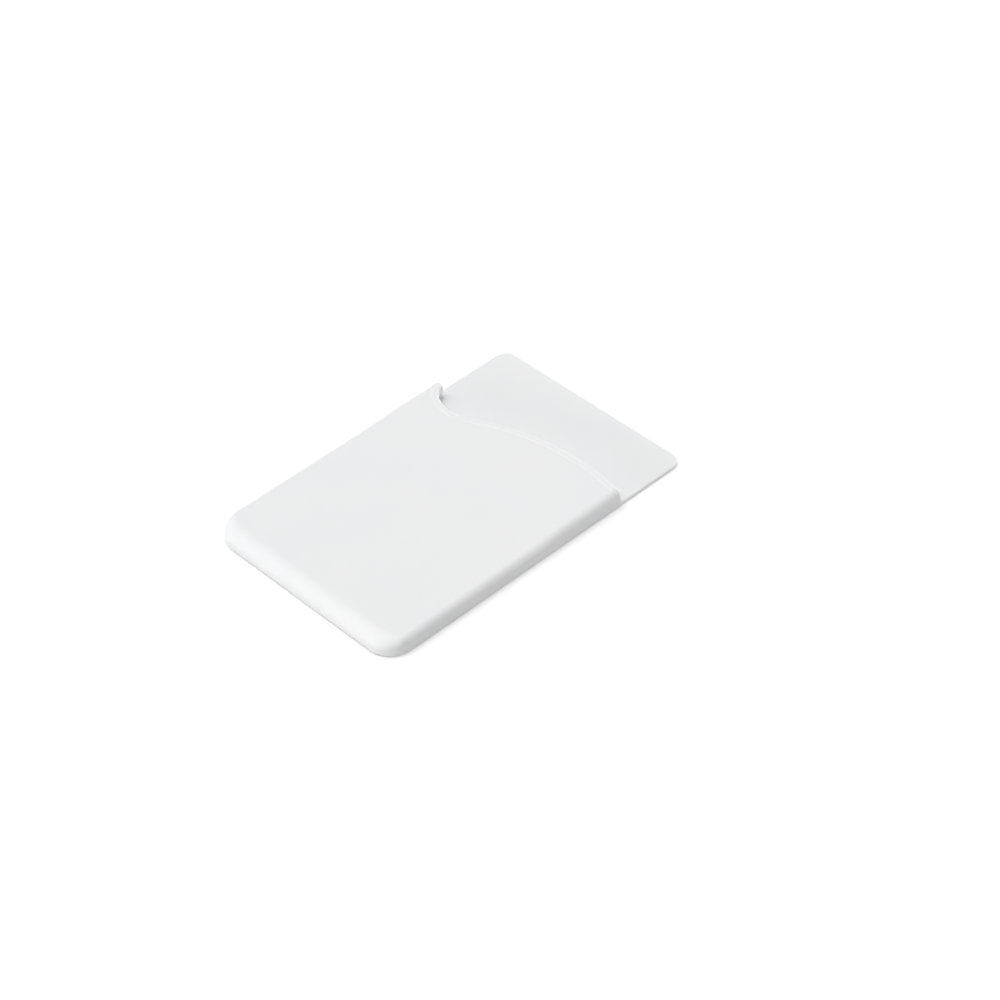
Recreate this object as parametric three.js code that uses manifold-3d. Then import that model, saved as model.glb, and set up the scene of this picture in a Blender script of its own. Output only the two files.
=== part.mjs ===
import * as THREE from "three";
import Module from "manifold-3d";

// Stick-on holder: a one-piece soft silicone sleeve with a flat pocket, and the
// adhesive pad under it.
// Millimetres. X runs across, Y runs along toward the pocket's mouth, Z is up.
// The origin is at the middle of the pad's underside.

// The standard size that the pocket is made for.
const CARD_WIDTH = 53.98;
const CARD_LENGTH = 85.6;
const CARD_WITH_EMBOSSING = 1.24;

// Adhesive pad on the underside.
const PAD_THICKNESS = 0.25;
const PAD_INSET = 2.4;
const PAD_CORNER = 4;

// The sleeve around the pocket.
const CARD_PLAY = 0.11;
const SIDE_WALL = 0.8;
const BOTTOM_WALL = 2;
const CARD_SHOWING = 1.35;
const BACK_THICKNESS = 0.65;
const BACK_INSET = 0.15;
const POCKET_PLAY = 0.4;
const POCKET_CORNER = 3;
const FRONT_THICKNESS = 1.65;
const SHOULDER_RADIUS = 1.65;
const END_SLOPE_LENGTH = 4.2;
const END_SLOPE_HEIGHT = 3.2;
const BOTTOM_CORNER = 6;
const BACK_TOP_CORNER = 3;
const BACK_EDGE_ROUND = 0.3;
const UNDER_EDGE_ROUND = 0.5;

// The front panel rises a little toward the mouth.
const FRONT_RISE = 0.45;
const RISE_START = -2;
const RISE_END = 11;

// The lip along the mouth: a deep thumb notch on the left, a low crest on the right.
const LIP_PROUD = 0.15;
const BACK_SHOWING = 19.2;
const NOTCH_DEPTH = 8.05;
const NOTCH_CENTRE = -17.8;
const NOTCH_FLAT_LENGTH = 6;
const CREST_CENTRE = 15.5;
const CREST_FLAT_LENGTH = 21;
const HORN_DROP = 3.05;
const HORN_INSET = 0.5;
const WALL_END_IN = 0.03;
const RIGHT_DROP = 1.2;
const RIGHT_END_DEPTH = 0.3;
const FOOT_DEPTH = 0.3;
const MARGIN = 5;

// Sizes that follow from the ones above.
const POCKET_HALF = CARD_WIDTH / 2 + CARD_PLAY;
const HALF_WIDTH = POCKET_HALF + SIDE_WALL;
const LENGTH = BOTTOM_WALL + CARD_LENGTH - CARD_SHOWING;
const HALF_LENGTH = LENGTH / 2;
const BACK_TOP = PAD_THICKNESS + BACK_THICKNESS;
const POCKET_TOP = BACK_TOP + CARD_WITH_EMBOSSING + POCKET_PLAY;
const FRONT_TOP = POCKET_TOP + FRONT_THICKNESS;
const LIP_TOP = FRONT_TOP + FRONT_RISE + LIP_PROUD;
const LIP_RADIUS = (LIP_TOP - POCKET_TOP) / 2;
const CREST_Y = HALF_LENGTH - BACK_SHOWING;
const NOTCH_Y = CREST_Y - NOTCH_DEPTH;
const HORN_Y = CREST_Y - HORN_DROP;
const RIGHT_Y = CREST_Y - RIGHT_DROP;

// How many rows of faces run along the sides.
const SIDE_ROWS = 36;

const wasm = await Module();
wasm.setup();

// A closed skin of points and triangles as a solid.
function solid(points, triangles) {
  const made = new wasm.Manifold(
    new wasm.Mesh({
      numProp: 3,
      vertProperties: new Float32Array(points.flat()),
      triVerts: new Uint32Array(triangles.flat()),
    }),
  );
  return made;
}

// The right-hand half of an outline, from the bottom edge round to the top edge.
// It is drawn in by the inset, and at the bottom edge by the end's own inset.
function halfOutline(half, bottom, top, bottomRound, topRound, inset, rows, endInset = inset) {
  const points = [];
  const steps = 10;
  const lowX = half - bottomRound;
  const lowY = bottom + bottomRound;
  const highX = half - topRound;
  const highY = top - topRound;
  for (let i = 0; i <= steps; i++) {
    const turn = (i / steps) * (Math.PI / 2) - Math.PI / 2;
    const x = lowX + (bottomRound - inset) * Math.cos(turn);
    points.push([x, lowY + (bottomRound - endInset) * Math.sin(turn)]);
  }
  for (let i = 1; i < rows; i++) {
    points.push([half - inset, lowY + ((highY - lowY) * i) / rows]);
  }
  for (let i = 0; i <= steps; i++) {
    const turn = (i / steps) * (Math.PI / 2);
    const reach = topRound - inset;
    points.push([highX + reach * Math.cos(turn), highY + reach * Math.sin(turn)]);
  }
  return points;
}

// A solid built up from level outlines, each mirrored about the middle line.
function stack(levels, rise) {
  const half = levels[0].outline.length;
  const ring = 2 * half;
  const points = [];
  const triangles = [];
  for (const { outline, height } of levels) {
    for (let i = 0; i < half; i++) {
      const [x, y] = outline[i];
      points.push([x, y, height + rise(y, height)]);
    }
    for (let i = half - 1; i >= 0; i--) {
      const [x, y] = outline[i];
      points.push([-x, y, height + rise(y, height)]);
    }
  }
  for (let k = 0; k + 1 < levels.length; k++) {
    for (let i = 0; i < ring; i++) {
      const j = (i + 1) % ring;
      const a = k * ring + i;
      const b = k * ring + j;
      triangles.push([a, b, b + ring], [a, b + ring, a + ring]);
    }
  }
  const last = (levels.length - 1) * ring;
  for (let i = 0; i + 1 < half; i++) {
    const left = ring - 1 - i;
    triangles.push([i, left, i + 1], [left, left - 1, i + 1]);
    triangles.push([last + i, last + i + 1, last + left]);
    triangles.push([last + left, last + i + 1, last + left - 1]);
  }
  return solid(points, triangles);
}

const level = () => 0;

// A plate with one rounded edge, at its top.
function plate(half, bottom, top, bottomRound, topRound, low, high, edge) {
  const outline = (inset) =>
    halfOutline(half, bottom, top, bottomRound, topRound, inset, 4);
  const levels = [{ outline: outline(0), height: low }];
  const steps = edge > 0 ? 4 : 0;
  for (let i = 0; i <= steps; i++) {
    const turn = steps ? ((i / steps) * Math.PI) / 2 : 0;
    levels.push({
      outline: outline(edge * (1 - Math.cos(turn))),
      height: high - edge + edge * Math.sin(turn),
    });
  }
  return stack(levels, level);
}

// How far the front panel has risen at a distance along the sleeve.
function riseAt(y) {
  const t = THREE.MathUtils.clamp((y - RISE_START) / (RISE_END - RISE_START), 0, 1);
  return FRONT_RISE * t * t * (3 - 2 * t);
}

// The full outer skin: a soft shoulder along the sides, a longer slope at the bottom
// end, and a small round below.
function outerSkin() {
  const outline = (inset, endInset = inset) =>
    halfOutline(
      HALF_WIDTH,
      -HALF_LENGTH,
      HALF_LENGTH + 2 * MARGIN,
      BOTTOM_CORNER,
      BOTTOM_CORNER,
      inset,
      SIDE_ROWS,
      endInset,
    );
  const levels = [];
  for (let i = 0; i <= 3; i++) {
    const turn = ((i / 3) * Math.PI) / 2;
    levels.push({
      outline: outline(UNDER_EDGE_ROUND * (1 - Math.sin(turn))),
      height: PAD_THICKNESS + UNDER_EDGE_ROUND * (1 - Math.cos(turn)),
    });
  }
  const start = FRONT_TOP - END_SLOPE_HEIGHT;
  for (let i = 0; i <= 12; i++) {
    const height = start + END_SLOPE_HEIGHT * Math.sin(((i / 12) * Math.PI) / 2);
    const side = insetAt(height, SHOULDER_RADIUS, SHOULDER_RADIUS);
    levels.push({ outline: outline(side, insetAt(height, END_SLOPE_LENGTH, END_SLOPE_HEIGHT)), height });
  }
  const rise = (y, height) => (riseAt(y) * Math.max(0, height - start)) / END_SLOPE_HEIGHT;
  return stack(levels, rise);
}

// How far a rounded edge has drawn in at a height.
function insetAt(height, length, drop) {
  const t = THREE.MathUtils.clamp((height - FRONT_TOP + drop) / drop, 0, 1);
  return length * (1 - Math.sqrt(1 - t * t));
}

// The middle line of the lip, seen from above, from the horn on the left to the right wall.
function lipPlan() {
  const hornX = HORN_INSET + LIP_RADIUS - HALF_WIDTH;
  const horn = new THREE.CubicBezierCurve(
    new THREE.Vector2(hornX, HORN_Y),
    new THREE.Vector2(hornX - 0.1, NOTCH_Y + 2.4),
    new THREE.Vector2(NOTCH_CENTRE - 4.2, NOTCH_Y),
    new THREE.Vector2(NOTCH_CENTRE, NOTCH_Y),
  );
  const slope = new THREE.CubicBezierCurve(
    new THREE.Vector2(NOTCH_CENTRE, NOTCH_Y),
    new THREE.Vector2(NOTCH_CENTRE + NOTCH_FLAT_LENGTH, NOTCH_Y),
    new THREE.Vector2(CREST_CENTRE - CREST_FLAT_LENGTH, CREST_Y),
    new THREE.Vector2(CREST_CENTRE, CREST_Y),
  );
  const crest = new THREE.CubicBezierCurve(
    new THREE.Vector2(CREST_CENTRE, CREST_Y),
    new THREE.Vector2(CREST_CENTRE + 4.5, CREST_Y),
    new THREE.Vector2(POCKET_HALF - 2.5, RIGHT_Y + 0.4),
    new THREE.Vector2(POCKET_HALF, RIGHT_Y),
  );
  const points = horn.getSpacedPoints(14);
  points.push(...slope.getSpacedPoints(22).slice(1));
  points.push(...crest.getSpacedPoints(14).slice(1));
  return points;
}

// The lip's stops: level along the front, then thinner, round the right shoulder and
// down the right wall's end.
function lipStops(plan) {
  const middle = POCKET_TOP + LIP_RADIUS;
  const thin = SIDE_WALL - WALL_END_IN;
  const bend = SHOULDER_RADIUS - SIDE_WALL;
  const bendStart = POCKET_HALF - bend;
  const yAt = (x) => {
    const i = plan.findIndex((point) => point.x >= x);
    const t = (x - plan[i - 1].x) / (plan[i].x - plan[i - 1].x);
    return THREE.MathUtils.lerp(plan[i - 1].y, plan[i].y, t);
  };
  const stops = [];
  for (const { x, y } of plan) {
    if (x < bendStart - 0.3) stops.push({ at: new THREE.Vector3(x, y, middle), radius: LIP_RADIUS });
  }
  for (let i = 0; i <= 5; i++) {
    const turn = ((i / 5) * Math.PI) / 2;
    const radius = THREE.MathUtils.lerp(LIP_RADIUS, thin, i / 5);
    const x = Math.min(bendStart + bend * Math.sin(turn), POCKET_HALF - 0.001);
    const y = yAt(x) + LIP_RADIUS - radius + RIGHT_END_DEPTH * (i / 5);
    stops.push({ at: new THREE.Vector3(x, y, middle - bend * (1 - Math.cos(turn))), radius });
  }
  const foot = stops[stops.length - 1].at.clone();
  foot.y += FOOT_DEPTH;
  foot.z = BACK_TOP - 0.1;
  stops.push({ at: foot, radius: thin });
  return stops;
}

// The rounded end of the left wall, under the horn.
function leftWallEnd(y) {
  const radius = SIDE_WALL - WALL_END_IN;
  const heights = [BACK_TOP - 0.1, BACK_TOP + BACK_THICKNESS, POCKET_TOP + LIP_RADIUS - SIDE_WALL];
  return heights.map((z) => ({ at: new THREE.Vector3(-POCKET_HALF, y, z), radius }));
}

// A round bar through a line of stops, each with its own radius, with round ends.
function bar(stops) {
  const around = 14;
  const first = stops[0];
  const last = stops[stops.length - 1];
  const startWay = stops[1].at.clone().sub(first.at).normalize();
  const endWay = last.at.clone().sub(stops[stops.length - 2].at).normalize();
  const rings = [];
  for (let i = 1; i <= 4; i++) {
    const turn = ((i / 4 - 1) * Math.PI) / 2;
    rings.push({
      at: first.at.clone().addScaledVector(startWay, first.radius * Math.sin(turn)),
      way: startWay,
      size: first.radius * Math.cos(turn),
    });
  }
  for (let i = 1; i + 1 < stops.length; i++) {
    const way = stops[i + 1].at.clone().sub(stops[i - 1].at).normalize();
    rings.push({ at: stops[i].at, way, size: stops[i].radius });
  }
  for (let i = 0; i < 4; i++) {
    const turn = ((i / 4) * Math.PI) / 2;
    rings.push({
      at: last.at.clone().addScaledVector(endWay, last.radius * Math.sin(turn)),
      way: endWay,
      size: last.radius * Math.cos(turn),
    });
  }
  const points = [first.at.clone().addScaledVector(startWay, -first.radius).toArray()];
  const side = new THREE.Vector3();
  const up = new THREE.Vector3();
  const hint = new THREE.Vector3(0, 0.35, 1).normalize();
  for (const { at, way, size } of rings) {
    side.crossVectors(way, hint).normalize();
    up.crossVectors(side, way).normalize();
    hint.copy(up);
    for (let i = 0; i < around; i++) {
      const turn = (i / around) * Math.PI * 2;
      const point = at.clone();
      point.addScaledVector(side, size * Math.cos(turn));
      point.addScaledVector(up, size * Math.sin(turn));
      points.push(point.toArray());
    }
  }
  points.push(last.at.clone().addScaledVector(endWay, last.radius).toArray());
  const triangles = [];
  const tip = points.length - 1;
  for (let i = 0; i < around; i++) {
    const j = (i + 1) % around;
    triangles.push([0, 1 + i, 1 + j]);
    triangles.push([tip, tip - around + j, tip - around + i]);
  }
  for (let k = 0; k + 1 < rings.length; k++) {
    for (let i = 0; i < around; i++) {
      const j = (i + 1) % around;
      const a = 1 + k * around + i;
      const b = 1 + k * around + j;
      triangles.push([a, b + around, b], [a, a + around, b + around]);
    }
  }
  return solid(points, triangles);
}

// Everything beyond the lip's middle line and above the back panel.
function beyondMouth(plan) {
  const shape = new THREE.Shape();
  shape.moveTo(-HALF_WIDTH - MARGIN, plan[0].y);
  for (const point of plan) shape.lineTo(point.x, point.y);
  shape.lineTo(HALF_WIDTH + MARGIN, plan[plan.length - 1].y);
  shape.lineTo(HALF_WIDTH + MARGIN, HALF_LENGTH + 3 * MARGIN);
  shape.lineTo(-HALF_WIDTH - MARGIN, HALF_LENGTH + 3 * MARGIN);
  const outline = shape.getPoints();
  const faces = THREE.ShapeUtils.triangulateShape(outline, []);
  const count = outline.length;
  const points = [];
  for (const height of [-MARGIN, LIP_TOP + MARGIN]) {
    for (const point of outline) points.push([point.x, point.y, height]);
  }
  const triangles = [];
  for (const [a, b, c] of faces) {
    triangles.push([a, c, b], [a + count, b + count, c + count]);
  }
  for (let i = 0; i < count; i++) {
    const j = (i + 1) % count;
    triangles.push([i, j, j + count], [i, j + count, i + count]);
  }
  return solid(points, triangles);
}

function sleeve() {
  const plan = lipPlan();
  const pocket = plate(
    POCKET_HALF,
    -HALF_LENGTH + BOTTOM_WALL,
    HALF_LENGTH + 2 * MARGIN,
    POCKET_CORNER,
    POCKET_CORNER,
    BACK_TOP - 0.05,
    POCKET_TOP,
    0.4,
  );
  const back = plate(
    HALF_WIDTH - BACK_INSET,
    -HALF_LENGTH + BACK_INSET,
    HALF_LENGTH,
    BOTTOM_CORNER,
    BACK_TOP_CORNER,
    PAD_THICKNESS,
    BACK_TOP,
    BACK_EDGE_ROUND,
  );
  return outerSkin()
    .subtract(beyondMouth(plan))
    .add(bar(lipStops(plan)))
    .add(bar(leftWallEnd(plan[0].y)))
    .subtract(pocket)
    .add(back);
}

function adhesivePad() {
  return plate(
    HALF_WIDTH - PAD_INSET,
    -HALF_LENGTH + PAD_INSET,
    HALF_LENGTH - PAD_INSET,
    PAD_CORNER,
    PAD_CORNER,
    0,
    PAD_THICKNESS,
    0,
  );
}

// A solid as a named mesh with its own material.
function mesh(name, body, colour, roughness) {
  const { vertProperties, triVerts } = body.getMesh();
  const geometry = new THREE.BufferGeometry();
  geometry.setAttribute("position", new THREE.BufferAttribute(vertProperties, 3));
  geometry.setIndex(new THREE.BufferAttribute(triVerts, 1));
  geometry.computeVertexNormals();
  const material = new THREE.MeshStandardMaterial({
    color: colour,
    roughness,
    metalness: 0,
  });
  const made = new THREE.Mesh(geometry, material);
  made.name = name;
  return made;
}

const holder = new THREE.Group();
holder.add(mesh("silicone_sleeve", sleeve(), 0xf0f1f2, 0.6));
holder.add(mesh("adhesive_pad", adhesivePad(), 0xe4e0d6, 0.5));

export default holder;
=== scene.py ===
"""Looks for the stick-on holder, built around its CAD frame.

The silicone sleeve is meshed finely from a distance field, so that its shoulder, its lip
and its wall ends run into each other as moulded silicone does. Everything is in metres.
"""

import math

import bpy
import numpy as np
from mathutils import Matrix, Vector


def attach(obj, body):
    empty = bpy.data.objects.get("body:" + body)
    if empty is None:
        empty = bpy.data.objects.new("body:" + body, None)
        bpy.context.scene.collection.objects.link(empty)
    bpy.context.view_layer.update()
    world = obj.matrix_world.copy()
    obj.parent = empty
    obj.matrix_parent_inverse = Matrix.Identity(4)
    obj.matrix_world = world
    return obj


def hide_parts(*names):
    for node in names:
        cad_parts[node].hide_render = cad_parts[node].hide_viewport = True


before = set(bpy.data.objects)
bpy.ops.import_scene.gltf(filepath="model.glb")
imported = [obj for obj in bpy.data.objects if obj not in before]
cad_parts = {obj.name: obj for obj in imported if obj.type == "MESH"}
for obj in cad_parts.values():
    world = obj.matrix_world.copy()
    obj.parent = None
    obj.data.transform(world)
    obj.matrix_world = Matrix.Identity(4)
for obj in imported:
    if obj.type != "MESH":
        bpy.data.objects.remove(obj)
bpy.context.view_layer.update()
MM = 0.001

# Camera, fitted to the photograph: it lies on its back face, seen from above and to the right.
AZIMUTH = math.radians(48.381)
ELEVATION = math.radians(41.745)
ROLL = math.radians(-3.189)
DISTANCE = 666.371 * MM
TARGET = Vector((-0.22, 14.294, -9.34)) * MM
LENS = 109.29


def add_camera():
    back = Vector(
        (
            math.sin(AZIMUTH) * math.cos(ELEVATION),
            -math.cos(AZIMUTH) * math.cos(ELEVATION),
            math.sin(ELEVATION),
        )
    )
    right = Vector((math.cos(AZIMUTH), math.sin(AZIMUTH), 0))
    up = back.cross(right)
    turned_right = right * math.cos(ROLL) + up * math.sin(ROLL)
    turned_up = up * math.cos(ROLL) - right * math.sin(ROLL)
    data = bpy.data.cameras.new("camera")
    data.lens = LENS
    data.sensor_width = 36
    data.clip_start = 0.01
    data.clip_end = 50
    camera = bpy.data.objects.new("camera", data)
    bpy.context.scene.collection.objects.link(camera)
    turn = Matrix((turned_right, turned_up, back)).transposed().to_4x4()
    camera.matrix_world = Matrix.Translation(TARGET + back * DISTANCE) @ turn
    bpy.context.scene.camera = camera


# The sleeve's sizes in millimetres. All but the lip's rim and the small rounds are the part's.
PAD = 0.25
BACK_TOP = 0.9
POCKET_HALF = 27.1
POCKET_BOTTOM = -41.125
POCKET_TOP = 2.54
HALF_WIDTH = 27.9
HALF_LENGTH = 43.125
FRONT_TOP = 4.19
SHOULDER = 1.65
END_LENGTH, END_HEIGHT = 4.2, 3.2
BOTTOM_CORNER = 6.0
RISE, RISE_START, RISE_END = 0.45, -2.0, 11.0
LIP_PROUD = 0.13
LIP_RADIUS = 1.125
LIP_ROUND = 0.85
RIM_START, RIM_WIDTH = -0.88, 0.48
UNDER_ROUND = 0.3
POCKET_CORNER, POCKET_ROOF_ROUND, POCKET_EDGE_ROUND = 3, 0.4, 0.38
PANEL_IN, PANEL_TOP_CORNER, PANEL_ROUND, PANEL_UNDER_ROUND = 0.15, 3, 0.3, 0.2
FILLET = 0.22
OPEN_END = 90
CREST_X, CREST_Y = 15.5, 23.925
NOTCH_X, NOTCH_Y = -17.8, CREST_Y - 8.05
HORN_X, HORN_Y = 0.5 + LIP_RADIUS - HALF_WIDTH, CREST_Y - 3.05
RIGHT_Y, RIGHT_REACH, FOOT_REACH = CREST_Y - 1.2, 0.3, 0.3


def bezier(a, b, c, d, steps):
    t = np.linspace(0, 1, steps + 1)[:, None]
    a, b, c, d = (np.array(p, float) for p in (a, b, c, d))
    return (1 - t) ** 3 * a + 3 * t * (1 - t) ** 2 * b + 3 * t * t * (1 - t) * c + t**3 * d


def mouth_line():
    """The lip's middle line seen from above, run on past both sides."""
    notch, top, right_end = (NOTCH_X, NOTCH_Y), (CREST_X, CREST_Y), (POCKET_HALF, RIGHT_Y)
    left_end = (HORN_X, HORN_Y)
    horn = bezier(left_end, (HORN_X - 0.1, NOTCH_Y + 2.4), (NOTCH_X - 4.2, NOTCH_Y), notch, 34)
    slope = bezier(notch, (NOTCH_X + 6, NOTCH_Y), (CREST_X - 21, CREST_Y), top, 34)
    crest = bezier(top, (CREST_X + 4.5, CREST_Y), (POCKET_HALF - 2.5, RIGHT_Y + 0.4), right_end, 24)
    bend = HALF_WIDTH - SHOULDER
    t = np.clip((crest[:, 0] - bend) / (POCKET_HALF - bend), 0, 1)
    crest[:, 1] += RIGHT_REACH * t * t
    left = np.array([[-60.0, HORN_Y]])
    right = np.array([[60.0, crest[-1, 1]]])
    return np.vstack([left, horn, slope[1:], crest[1:], right])


MOUTH = mouth_line()


def beyond_mouth(x, y):
    """Distance to the lip's middle line, positive toward the open end."""
    start, end = MOUTH[:-1], MOUTH[1:]
    way = end - start
    size = (way**2).sum(1)
    best = np.full(x.shape, 1e9)
    crossed = np.zeros(x.shape, bool)
    for (sx, sy), (ex, ey), (wx, wy), n in zip(start, end, way, size):
        t = np.clip(((x - sx) * wx + (y - sy) * wy) / n, 0, 1)
        best = np.minimum(best, (x - sx - t * wx) ** 2 + (y - sy - t * wy) ** 2)
        spans = (sx <= x) != (ex <= x)
        if abs(wx) > 1e-12:
            crossed ^= spans & (y > sy + (x - sx) * wy / wx)
    return np.where(crossed, 1, -1) * np.sqrt(best)


def smooth(t):
    t = np.clip(t, 0, 1)
    return t * t * (3 - 2 * t)


def rounded_rectangle(x, y, half, low, high, low_round, high_round):
    middle, reach = (low + high) / 2, (high - low) / 2
    radius = np.where(y > middle, high_round, low_round)
    qx = np.abs(x) - half + radius
    qy = np.abs(y - middle) - reach + radius
    outside = np.hypot(np.maximum(qx, 0), np.maximum(qy, 0))
    return outside + np.minimum(np.maximum(qx, qy), 0) - radius


def meet(a, b, radius):
    """What lies in both, with a rounded edge."""
    edge = np.hypot(np.maximum(radius + a, 0), np.maximum(radius + b, 0))
    return np.minimum(-radius, np.maximum(a, b)) + edge


def join(a, b, blend):
    """What lies in either, with a small fillet."""
    h = np.maximum(blend - np.abs(a - b), 0) / blend
    return np.minimum(a, b) - h * h * blend / 4


def drawn_in(height, top, length, drop):
    """How far a rounded edge has drawn in at a height."""
    t = np.clip((height - top + drop) / drop, 0, 1)
    return length * (1 - np.sqrt(1 - t * t))


def outer_level(x, y, z, top):
    """Distance to the sleeve's outline at one level, as the shoulder and end slope draw it in."""
    side = drawn_in(z, top, SHOULDER, SHOULDER)
    end = drawn_in(z, top, END_LENGTH, END_HEIGHT)
    across = np.abs(x) - HALF_WIDTH + BOTTOM_CORNER
    along = -HALF_LENGTH + BOTTOM_CORNER - y
    rx, ry = BOTTOM_CORNER - side, BOTTOM_CORNER - end
    u, v = np.maximum(across, 0) / rx, np.maximum(along, 0) / ry
    size = np.hypot(u, v)
    corner = (size - 1) * size / np.maximum(np.hypot(u / rx, v / ry), 1e-9)
    corner = np.where(size > 1e-6, corner, -np.minimum(rx, ry))
    return np.where((across > 0) & (along > 0), corner, np.maximum(across - rx, along - ry))


def outer_skin(x, y, z, top):
    step = 0.02
    level = outer_level(x, y, z, top)
    lean = (outer_level(x, y, z + step, top) - outer_level(x, y, z - step, top)) / (2 * step)
    return np.maximum(level / np.sqrt(1 + lean * lean), z - top)


def sleeve_field(x, y, z):
    mouth = beyond_mouth(x, y)
    wall = smooth((np.abs(x) - 26.3) / 1.2) * smooth((3.4 - z) / 2.6)
    mouth = mouth - FOOT_REACH * np.where(x > 0, wall, 0)
    lip = smooth((mouth - RIM_START) / RIM_WIDTH)
    top = FRONT_TOP + RISE * smooth((y - RISE_START) / (RISE_END - RISE_START)) + LIP_PROUD * lip
    skin = outer_skin(x, y, z, top)
    skin = meet(skin, PAD - z, UNDER_ROUND)
    skin = meet(skin, mouth - LIP_RADIUS, LIP_ROUND)
    corner = POCKET_CORNER
    pocket = rounded_rectangle(x, y, POCKET_HALF, POCKET_BOTTOM, OPEN_END, corner, corner)
    pocket = meet(pocket, z - POCKET_TOP, POCKET_ROOF_ROUND)
    pocket = np.maximum(pocket, BACK_TOP - 0.1 - z)
    skin = meet(skin, -pocket, POCKET_EDGE_ROUND)
    half, low = HALF_WIDTH - PANEL_IN, PANEL_IN - HALF_LENGTH
    panel = rounded_rectangle(x, y, half, low, HALF_LENGTH, BOTTOM_CORNER, PANEL_TOP_CORNER)
    panel = meet(panel, z - BACK_TOP, PANEL_ROUND)
    panel = meet(panel, PAD - z, PANEL_UNDER_ROUND)
    return np.maximum(join(skin, panel, FILLET), PAD - z)


def spaced(stops):
    """Grid positions from pairs of a position and the step after it."""
    out = []
    for (a, step), (b, _) in zip(stops, stops[1:]):
        n = max(1, round((b - a) / step))
        out.extend(a + (b - a) * i / n for i in range(n))
    out.append(stops[-1][0])
    return np.array(out)


def field_mesh(field, xs, ys, zs):
    """Vertices and faces where the field crosses nought, one vertex to a cell."""
    gx, gy = np.meshgrid(xs, ys, indexing="ij")
    value = np.stack([field(gx, gy, np.full(gx.shape, z)) for z in zs], axis=2)
    grid = np.stack(np.meshgrid(xs, ys, zs, indexing="ij"), axis=3)
    shape = tuple(n - 1 for n in value.shape)
    total = np.zeros(shape + (3,))
    count = np.zeros(shape)
    quads = []
    for axis in range(3):
        u, v = (axis + 1) % 3, (axis + 2) % 3
        near = [slice(None)] * 3
        far = [slice(None)] * 3
        near[axis], far[axis] = slice(None, -1), slice(1, None)
        a, b = value[tuple(near)], value[tuple(far)]
        at = np.argwhere((a < 0) != (b < 0))
        inside = (at[:, u] > 0) & (at[:, u] < value.shape[u] - 1)
        at = at[inside & (at[:, v] > 0) & (at[:, v] < value.shape[v] - 1)]
        ta, tb = a[tuple(at.T)], b[tuple(at.T)]
        share = (ta / (ta - tb))[:, None]
        step = np.zeros(3, int)
        step[axis] = 1
        point = grid[tuple(at.T)] * (1 - share) + grid[tuple((at + step).T)] * share
        corners = []
        for du, dv in ((-1, -1), (0, -1), (0, 0), (-1, 0)):
            cell = at.copy()
            cell[:, u] += du
            cell[:, v] += dv
            np.add.at(total, tuple(cell.T), point)
            np.add.at(count, tuple(cell.T), 1)
            corners.append(np.ravel_multi_index(tuple(cell.T), shape))
        quad = np.stack(corners, axis=1)
        quad[ta > 0] = quad[ta > 0][:, ::-1]
        quads.append(quad)
    used = count.ravel() > 0
    number = np.cumsum(used) - 1
    points = total.reshape(-1, 3)[used] / count.ravel()[used][:, None]
    return points, number[np.vstack(quads)]


def slope_of(field, points, step=0.01):
    out = np.empty_like(points)
    for axis in range(3):
        shift = np.zeros(3)
        shift[axis] = step
        out[:, axis] = (field(*(points + shift).T) - field(*(points - shift).T)) / (2 * step)
    return out


def settle(field, points, rounds):
    """Moves the vertices onto the surface itself."""
    for _ in range(rounds):
        slope = slope_of(field, points)
        away = field(*points.T)[:, None] * slope / np.maximum((slope**2).sum(1), 0.2)[:, None]
        points = points - np.clip(away, -0.2, 0.2)
    return points


def make_sleeve():
    fine = 0.2
    # No plane of the grid lies on a flat wall: a wall that one lay on came out black.
    xs = spaced([(-28.57, fine), (-21.6, 0.7), (22.45, fine), (28.57, fine)])
    pocket = [(-43.83, fine), (-36, 1.5), (-3, 1.1), (12, 0.3)]
    ys = spaced(pocket + [(14.5, fine), (26.5, 0.9), (38.5, fine), (43.83, fine)])
    zs = spaced([(-0.11, 0.15), (5.23, 0.15)])
    points, quads = field_mesh(sleeve_field, xs, ys, zs)
    points = settle(sleeve_field, points, 5)
    box = np.array([HALF_WIDTH, HALF_LENGTH, FRONT_TOP + RISE + LIP_PROUD])
    points = np.clip(points, [-box[0], -box[1], PAD], box)
    normals = slope_of(sleeve_field, points, 0.03)
    normals /= np.linalg.norm(normals, axis=1)[:, None]
    mesh = bpy.data.meshes.new("sleeve_skin")
    mesh.from_pydata((points * MM).tolist(), [], quads.tolist())
    mesh.polygons.foreach_set("use_smooth", [True] * len(mesh.polygons))
    mesh.update()
    mesh.normals_split_custom_set_from_vertices(normals.tolist())
    skin = bpy.data.objects.new("sleeve_skin", mesh)
    bpy.context.scene.collection.objects.link(skin)
    return skin


def new_material(name):
    made = bpy.data.materials.new(name)
    made.use_nodes = True
    nodes = made.node_tree.nodes
    return made, nodes, made.node_tree.links, nodes["Principled BSDF"]


def noise(nodes, links, vector, scale, detail, rough=0.5):
    made = nodes.new("ShaderNodeTexNoise")
    made.inputs["Scale"].default_value = scale
    made.inputs["Detail"].default_value = detail
    made.inputs["Roughness"].default_value = rough
    links.new(vector, made.inputs["Vector"])
    return made.outputs["Fac"]


def spread(nodes, links, value, low, high):
    made = nodes.new("ShaderNodeMapRange")
    made.inputs["From Min"].default_value = 0.3
    made.inputs["From Max"].default_value = 0.7
    made.inputs["To Min"].default_value = low
    made.inputs["To Max"].default_value = high
    links.new(value, made.inputs["Value"])
    return made.outputs["Result"]


def two_colours(nodes, links, value, first, second):
    made = nodes.new("ShaderNodeMix")
    made.data_type = "RGBA"
    made.inputs["A"].default_value = (*first, 1)
    made.inputs["B"].default_value = (*second, 1)
    links.new(value, made.inputs["Factor"])
    return made.outputs["Result"]


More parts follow.
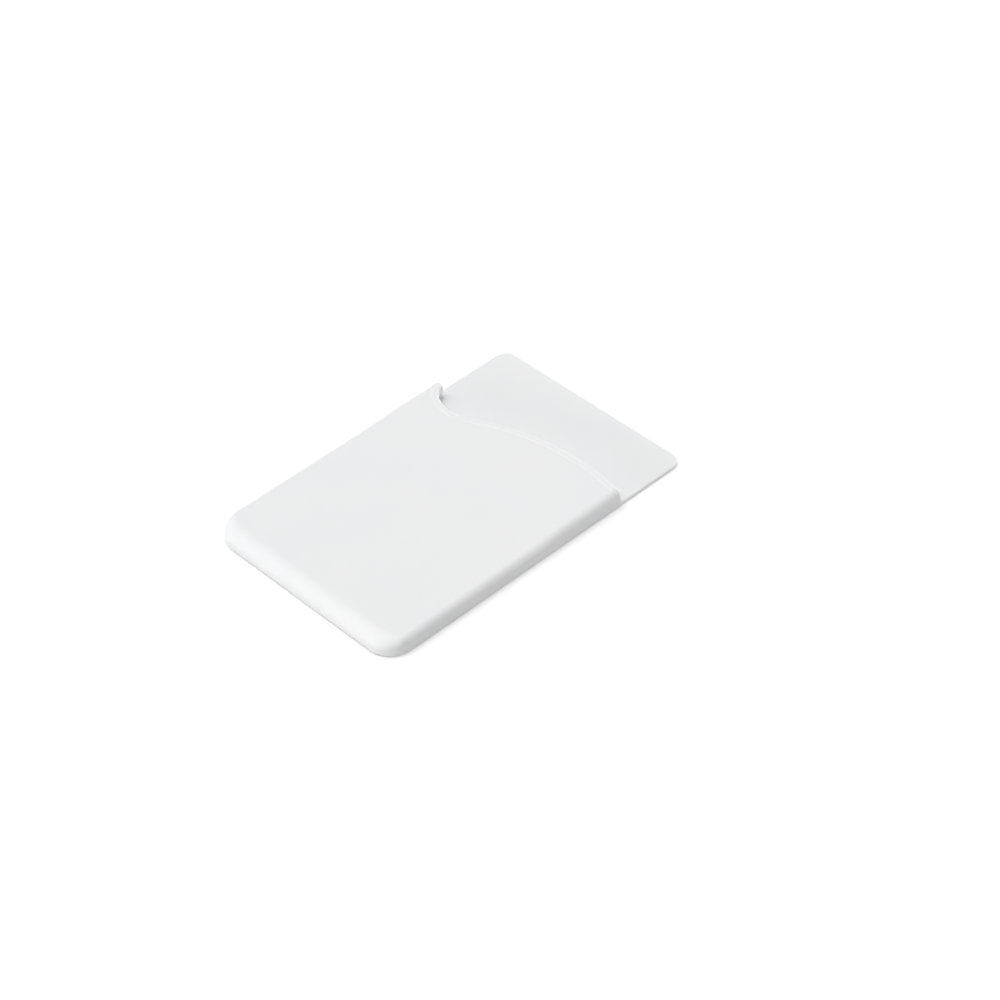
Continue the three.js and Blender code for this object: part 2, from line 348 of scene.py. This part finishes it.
def silicone_material():
    """White moulded silicone: soft sheen, light let in a little, a very fine mould grain."""
    made, nodes, links, shader = new_material("silicone")
    place = nodes.new("ShaderNodeTexCoord").outputs["Object"]
    cloud = spread(nodes, links, noise(nodes, links, place, 60, 3), 0, 1)
    colour = two_colours(nodes, links, cloud, (0.822, 0.826, 0.835), (0.835, 0.836, 0.84))
    links.new(colour, shader.inputs["Base Color"])
    patch = noise(nodes, links, place, 260, 4)
    links.new(spread(nodes, links, patch, 0.47, 0.56), shader.inputs["Roughness"])
    shader.inputs["IOR"].default_value = 1.42
    shader.inputs["Subsurface Weight"].default_value = 0.12
    shader.inputs["Subsurface Radius"].default_value = (1.0, 0.95, 0.9)
    shader.inputs["Subsurface Scale"].default_value = 0.0008
    grain = noise(nodes, links, place, 5200, 2)
    bump = nodes.new("ShaderNodeBump")
    bump.inputs["Strength"].default_value = 0.12
    bump.inputs["Distance"].default_value = 0.00003
    links.new(grain, bump.inputs["Height"])
    links.new(bump.outputs["Normal"], shader.inputs["Normal"])
    return made


def adhesive_material():
    """Double-sided adhesive film: off-white, slightly glossy, with a faint fibre."""
    made, nodes, links, shader = new_material("adhesive")
    place = nodes.new("ShaderNodeTexCoord").outputs["Object"]
    stretch = nodes.new("ShaderNodeMapping")
    stretch.inputs["Scale"].default_value = (1, 0.25, 1)
    links.new(place, stretch.inputs["Vector"])
    fibre = noise(nodes, links, stretch.outputs["Vector"], 1800, 5, 0.6)
    mix = spread(nodes, links, fibre, 0, 1)
    colour = two_colours(nodes, links, mix, (0.6, 0.55, 0.45), (0.68, 0.64, 0.55))
    links.new(colour, shader.inputs["Base Color"])
    links.new(spread(nodes, links, fibre, 0.3, 0.42), shader.inputs["Roughness"])
    bump = nodes.new("ShaderNodeBump")
    bump.inputs["Strength"].default_value = 0.25
    bump.inputs["Distance"].default_value = 0.00004
    links.new(fibre, bump.inputs["Height"])
    links.new(bump.outputs["Normal"], shader.inputs["Normal"])
    return made


def camera_share(nodes, links):
    """One for what the camera, a gloss or a clear surface sees, nought for light on the object."""
    path = nodes.new("ShaderNodeLightPath")
    value = path.outputs["Is Camera Ray"]
    for other in ("Is Glossy Ray", "Is Transmission Ray"):
        most = nodes.new("ShaderNodeMath")
        most.operation = "MAXIMUM"
        links.new(value, most.inputs[0])
        links.new(path.outputs[other], most.inputs[1])
        value = most.outputs["Value"]
    return value


def add_floor():
    mesh = bpy.data.meshes.new("floor")
    reach, below = 3.0, -0.02 * MM
    signs = [(-1, -1), (1, -1), (1, 1), (-1, 1)]
    corners = [(x * reach, y * reach, below) for x, y in signs]
    mesh.from_pydata(corners, [], [(0, 1, 2, 3)])
    floor = bpy.data.objects.new("floor", mesh)
    bpy.context.scene.collection.objects.link(floor)
    made = bpy.data.materials.new("floor")
    made.use_nodes = True
    nodes, links = made.node_tree.nodes, made.node_tree.links
    nodes.clear()
    out = nodes.new("ShaderNodeOutputMaterial")
    diffuse = nodes.new("ShaderNodeBsdfDiffuse")
    diffuse.inputs["Color"].default_value = (0.76, 0.76, 0.76, 1)
    glow = nodes.new("ShaderNodeEmission")
    glow.inputs["Color"].default_value = (1, 1, 1, 1)
    lift = nodes.new("ShaderNodeMath")
    lift.operation = "MULTIPLY"
    lift.inputs[1].default_value = 0.3
    links.new(camera_share(nodes, links), lift.inputs[0])
    links.new(lift.outputs["Value"], glow.inputs["Strength"])
    both = nodes.new("ShaderNodeAddShader")
    links.new(diffuse.outputs["BSDF"], both.inputs[0])
    links.new(glow.outputs["Emission"], both.inputs[1])
    links.new(both.outputs["Shader"], out.inputs["Surface"])
    mesh.materials.append(made)


def add_world():
    world = bpy.data.worlds.new("world")
    bpy.context.scene.world = world
    world.use_nodes = True
    nodes, links = world.node_tree.nodes, world.node_tree.links
    nodes.clear()
    out = nodes.new("ShaderNodeOutputWorld")
    light = nodes.new("ShaderNodeBackground")
    light.inputs["Color"].default_value = (1, 1, 1, 1)
    light.inputs["Strength"].default_value = 0.32
    seen = nodes.new("ShaderNodeBackground")
    seen.inputs["Color"].default_value = (1, 1, 1, 1)
    seen.inputs["Strength"].default_value = 1
    mix = nodes.new("ShaderNodeMixShader")
    links.new(camera_share(nodes, links), mix.inputs["Fac"])
    links.new(light.outputs["Background"], mix.inputs[1])
    links.new(seen.outputs["Background"], mix.inputs[2])
    links.new(mix.outputs["Shader"], out.inputs["Surface"])


def add_lamp(name, azimuth, elevation, away, width, height, share):
    """A soft box that gives a level face this share of the light of an even white world."""
    a, e = math.radians(azimuth), math.radians(elevation)
    way = Vector((math.cos(a) * math.cos(e), math.sin(a) * math.cos(e), math.sin(e)))
    data = bpy.data.lights.new(name, "AREA")
    data.shape = "RECTANGLE"
    data.size = width
    data.size_y = height
    data.energy = share * (math.pi * away) ** 2 / math.sin(e)
    lamp = bpy.data.objects.new(name, data)
    bpy.context.scene.collection.objects.link(lamp)
    lamp.location = way * away
    lamp.rotation_euler = way.to_track_quat("Z", "Y").to_euler()


add_camera()
add_floor()
add_world()
add_lamp("top_box", 180, 84, 1.5, 1.0, 1.0, 0.505)
add_lamp("left_box", 212, 50, 1.5, 0.9, 0.9, 0.13)
add_lamp("rear_strip", 76, 10, 0.55, 0.44, 0.13, 0.072)
add_lamp("front_strip", 264, 9, 1.5, 1.2, 0.32, 0.06)

silicone = silicone_material()
skin = make_sleeve()
skin.data.materials.append(silicone)
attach(skin, "root")
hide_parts("silicone_sleeve")
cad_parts["silicone_sleeve"].material_slots[0].material = silicone
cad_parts["adhesive_pad"].material_slots[0].material = adhesive_material()

scene = bpy.context.scene
scene.view_settings.view_transform = "Standard"
